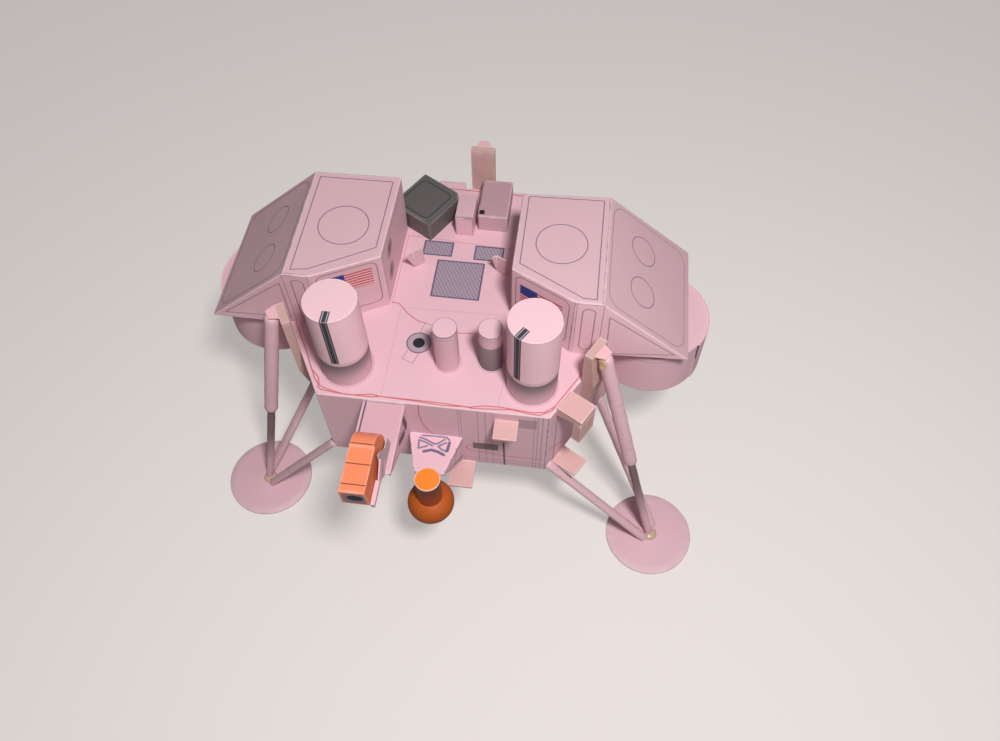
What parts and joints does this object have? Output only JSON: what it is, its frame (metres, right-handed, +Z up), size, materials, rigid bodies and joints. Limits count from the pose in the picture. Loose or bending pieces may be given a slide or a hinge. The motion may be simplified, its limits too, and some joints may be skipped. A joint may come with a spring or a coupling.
{
  "type": "card model mars lander",
  "caption": "Glued card model of a six-sided mars lander with two deck covers, cameras, soil sampler, descent engines and three braced legs on round feet.",
  "frame": {"origin": "on the ground under the middle of the model's outline", "axes": "+Z up from the foot pads to the camera tops, +Y towards the rear leg, +X to the right with the soil sampler in front"},
  "size_m": [0.1122, 0.114, 0.0701],
  "materials": {
    "white_card": "matt white card, printed with thin blue-grey and red lines",
    "white_paper_tube": "matt white rolled paper",
    "toned_paper_tube": "rolled paper fading from brown-grey to white",
    "orange_card": "matt orange printed card",
    "engine_orange_card": "matt orange printed card",
    "brown_card": "brown printed card with a soft gradient",
    "grey_card": "dark grey-green printed card"
  },
  "bodies": {
    "root": {"body_floor": "white_card", "body_walls": "white_card", "camera_base_left": "white_card", "camera_base_right": "white_card", "camera_head_left": "white_card", "camera_head_right": "white_card", "corner_flap": "white_card", "cover_left": "white_card", "cover_right": "white_card", "deck": "white_card", "deck_flap_1": "white_card", "deck_flap_2": "white_card", "engine_body_front": "engine_orange_card", "engine_body_left": "engine_orange_card", "engine_body_right": "engine_orange_card", "engine_bracket_front": "white_card", "engine_bracket_left": "white_card", "engine_bracket_right": "white_card", "engine_bulb_front": "brown_card", "engine_bulb_left": "brown_card", "engine_bulb_right": "brown_card", "floor_flap": "white_card", "foot_pad_left": "white_card", "foot_pad_rear": "white_card", "foot_pad_right": "white_card", "grey_box": "grey_card", "inlet_1": "white_card", "inlet_2": "white_card", "leg_bracket_left": "white_card", "leg_bracket_rear": "white_card", "leg_bracket_right": "white_card", "rear_flap": "white_card", "sampler_boom": "orange_card", "sampler_rail": "white_card", "sampler_shelf": "white_card", "shoulder_box": "white_card", "side_strut_left_a": "white_paper_tube", "side_strut_left_b": "white_paper_tube", "side_strut_rear_a": "white_paper_tube", "side_strut_rear_b": "white_paper_tube", "side_strut_right_a": "white_paper_tube", "side_strut_right_b": "white_paper_tube", "strut_lower_left": "toned_paper_tube", "strut_lower_rear": "toned_paper_tube", "strut_lower_right": "toned_paper_tube", "strut_upper_left": "white_paper_tube", "strut_upper_rear": "white_paper_tube", "strut_upper_right": "white_paper_tube", "tank_left": "white_card", "tank_right": "white_card", "wall_flap": "white_card", "white_box_large": "white_card", "white_box_small": "white_card"}
  },
  "joints": []
}
